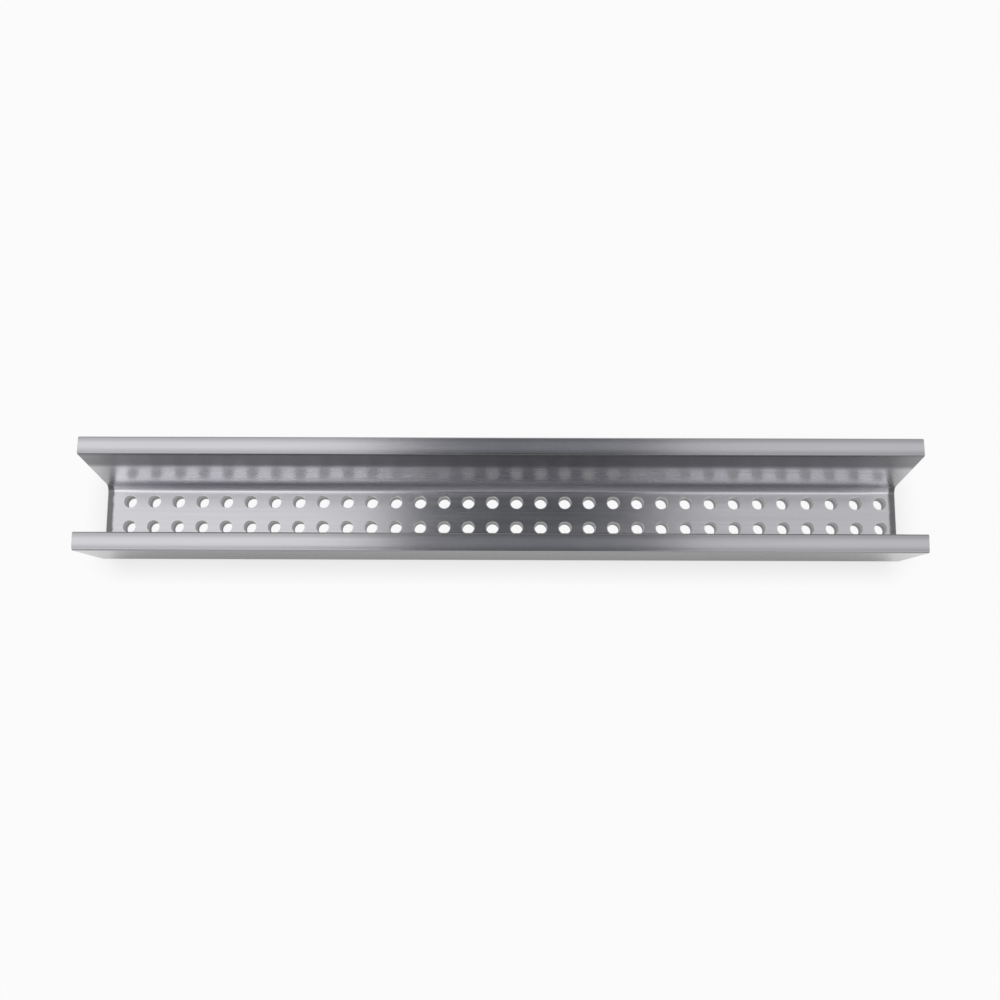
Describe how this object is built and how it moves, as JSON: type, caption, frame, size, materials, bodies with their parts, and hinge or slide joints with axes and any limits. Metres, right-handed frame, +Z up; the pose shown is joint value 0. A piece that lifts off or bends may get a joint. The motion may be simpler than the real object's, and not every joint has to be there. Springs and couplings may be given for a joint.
{
  "type": "c-channel profile",
  "caption": "Thick-walled C-channel bent from one metal plate, with two rows of round holes along its web and plain square-cut ends.",
  "frame": {"origin": "middle of the web's back face, which the channel lies on", "axes": "+X along the channel, +Y across it from the near flange to the far one, +Z up out of the open side"},
  "size_m": [0.326, 0.0446, 0.0529],
  "materials": {
    "channel_metal": "mill-finish aluminium, semi-gloss, with fine lengthwise lines"
  },
  "bodies": {
    "root": {"channel": "channel_metal"}
  },
  "joints": []
}
